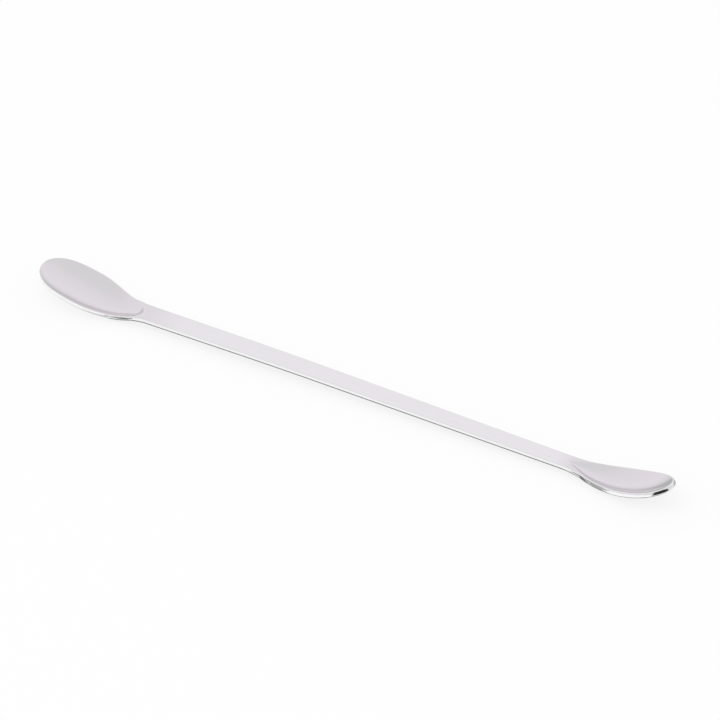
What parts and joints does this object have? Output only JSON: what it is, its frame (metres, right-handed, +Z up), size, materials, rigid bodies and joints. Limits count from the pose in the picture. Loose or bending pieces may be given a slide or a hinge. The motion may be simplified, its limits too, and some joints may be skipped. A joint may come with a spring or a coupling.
{
  "type": "lab spatula",
  "caption": "Double-ended stainless steel lab spatula: a flat, slightly tapered handle with a large egg-shaped spoon at one end and a narrow, upturned spoon at the other.",
  "frame": {"origin": "on the bench, under the middle of the part", "axes": "+X along the handle towards the small bowl, +Y across, +Z up out of the bowls"},
  "size_m": [0.2, 0.0152, 0.0083],
  "materials": {
    "spatula": "polished stainless steel, not plated"
  },
  "bodies": {
    "root": {"spatula": "spatula"}
  },
  "joints": []
}
